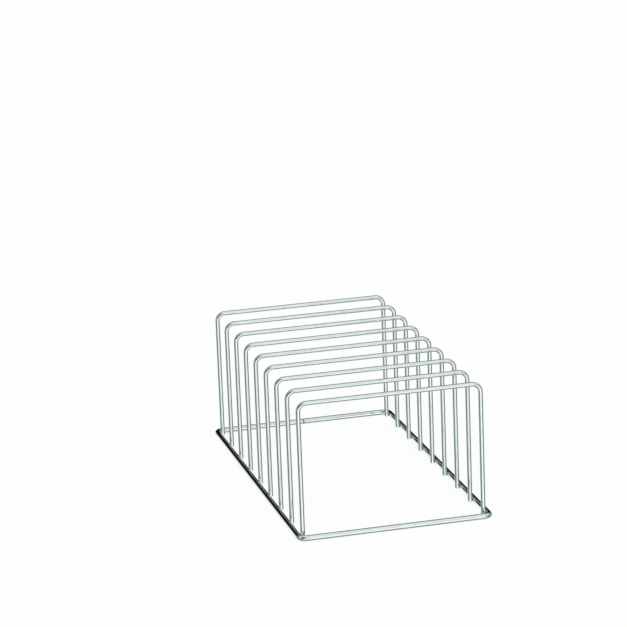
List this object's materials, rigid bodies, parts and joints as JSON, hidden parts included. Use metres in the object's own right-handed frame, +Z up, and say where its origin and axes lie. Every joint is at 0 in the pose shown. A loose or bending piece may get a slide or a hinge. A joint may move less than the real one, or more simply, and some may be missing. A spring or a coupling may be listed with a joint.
{
  "type": "sheet pan rack",
  "caption": "Free-standing wire rack that holds baking sheets and pans upright on edge: a flat closed ring of round bar with a row of inverted-U hoops welded inside it.",
  "frame": {"origin": "on the table, in the middle of the rack's footprint", "axes": "+Z up, +Y from the rack's front to its back along the row of hoops, +X to the right along each hoop's top bar"},
  "size_m": [0.3032, 0.5656, 0.211],
  "materials": {
    "bright_wire": "polished",
    "weld": "satin"
  },
  "bodies": {
    "root": {"base_ring": "bright_wire", "hoop_1": "bright_wire", "hoop_2": "bright_wire", "hoop_3": "bright_wire", "hoop_4": "bright_wire", "hoop_5": "bright_wire", "hoop_6": "bright_wire", "hoop_7": "bright_wire", "hoop_8": "bright_wire", "hoop_9": "bright_wire", "ring_closing_weld": "weld", "hoop_1_welds": "weld", "hoop_2_welds": "weld", "hoop_3_welds": "weld", "hoop_4_welds": "weld", "hoop_5_welds": "weld", "hoop_6_welds": "weld", "hoop_7_welds": "weld", "hoop_8_welds": "weld", "hoop_9_welds": "weld"}
  },
  "joints": []
}
